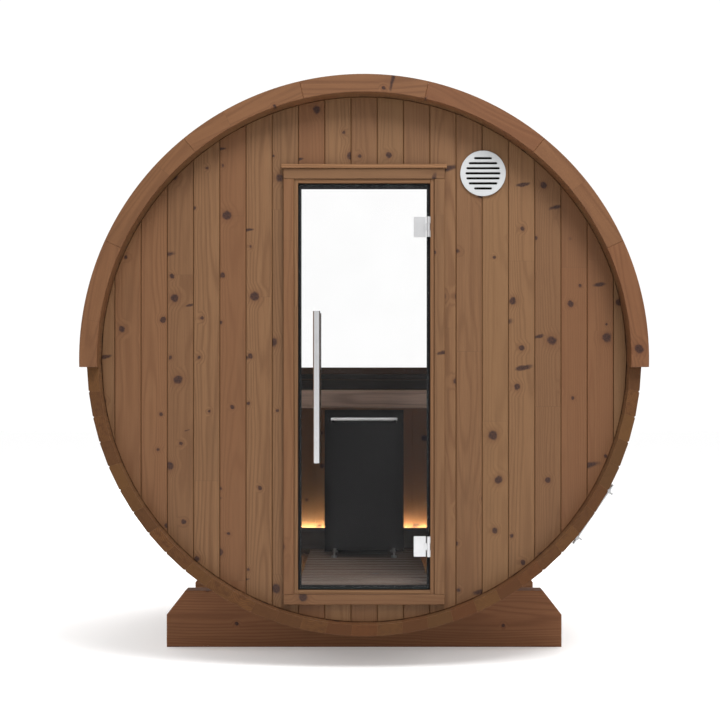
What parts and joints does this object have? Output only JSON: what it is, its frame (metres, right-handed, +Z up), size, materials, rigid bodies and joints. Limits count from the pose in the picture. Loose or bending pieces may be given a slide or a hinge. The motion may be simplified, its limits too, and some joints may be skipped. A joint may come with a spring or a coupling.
{
  "type": "barrel sauna cabin",
  "caption": "Barrel-shaped wooden sauna cabin on saddle beams, with a hinged glass door, half-moon rear window, bench and heater.",
  "frame": {"origin": "on the ground under the middle of the barrel", "axes": "+Z up, -Y towards the door end, +X to the right seen from the door"},
  "size_m": [2.0998, 2.03, 2.205],
  "materials": {
    "staves": "planed thermally treated softwood, oiled",
    "roof": "planed thermally treated softwood, oiled",
    "arch": "planed thermally treated softwood, bevelled edges",
    "wall": "planed vertical tongued boards with knots",
    "casing": "planed softwood, eased edges",
    "frame": "planed softwood, eased edges",
    "beam": "planed softwood, weathered brown",
    "interior": "dark planed softwood, satin",
    "glass": "clear toughened glass",
    "seal": "matt black sealing profile",
    "handle_steel": "polished stainless tube",
    "hinge_steel": "satin",
    "hoop_steel": "stainless band, satin",
    "vent": "light grey, slightly glossy",
    "light": "warm white light strip",
    "heater_black": "matt black enamel",
    "feet_steel": "zinc plated"
  },
  "bodies": {
    "cabin": {"staves_bottom": "staves", "staves_right_1": "staves", "staves_right_2": "staves", "staves_right_3": "staves", "staves_right_4": "staves", "staves_left_1": "staves", "staves_left_2": "staves", "staves_left_3": "staves", "staves_left_4": "staves", "roof_boards_right": "roof", "roof_boards_left": "roof", "front_arch": "arch", "rear_arch": "arch", "front_wall_left": "wall", "front_wall_right": "wall", "front_wall_over_door": "wall", "front_wall_under_door": "wall", "rear_wall": "wall", "casing_sides": "casing", "casing_head": "casing", "casing_foot": "casing", "drip_cap": "casing", "door_jambs": "frame", "door_head": "frame", "door_threshold": "frame", "window_sill": "frame", "window_frame": "frame", "beam_front": "beam", "beam_rear": "beam", "duckboard": "interior", "plinth": "interior", "bench_seat": "interior", "bench_front_board": "interior", "bench_bearers": "interior", "backrest": "interior", "window_glass": "glass", "door_seal": "seal", "frame_hinge_leaves": "hinge_steel", "hoops": "hoop_steel", "hoop_bolts": "hoop_steel", "vent_grille": "vent", "light_strip": "light", "heat_shield": "heater_black", "heater_body": "heater_black", "heater_feet": "feet_steel"},
    "door": {"door_glass": "glass", "handle_outside": "handle_steel", "handle_inside": "handle_steel", "door_hinge_leaves": "hinge_steel"}
  },
  "joints": [
    {"name": "door_hinge", "type": "hinge", "parent": "cabin", "child": "door", "pos_m": [0.241, -0.9345, 1.05], "axis": [0, 0, 1], "range_deg": [0, 110]}
  ]
}
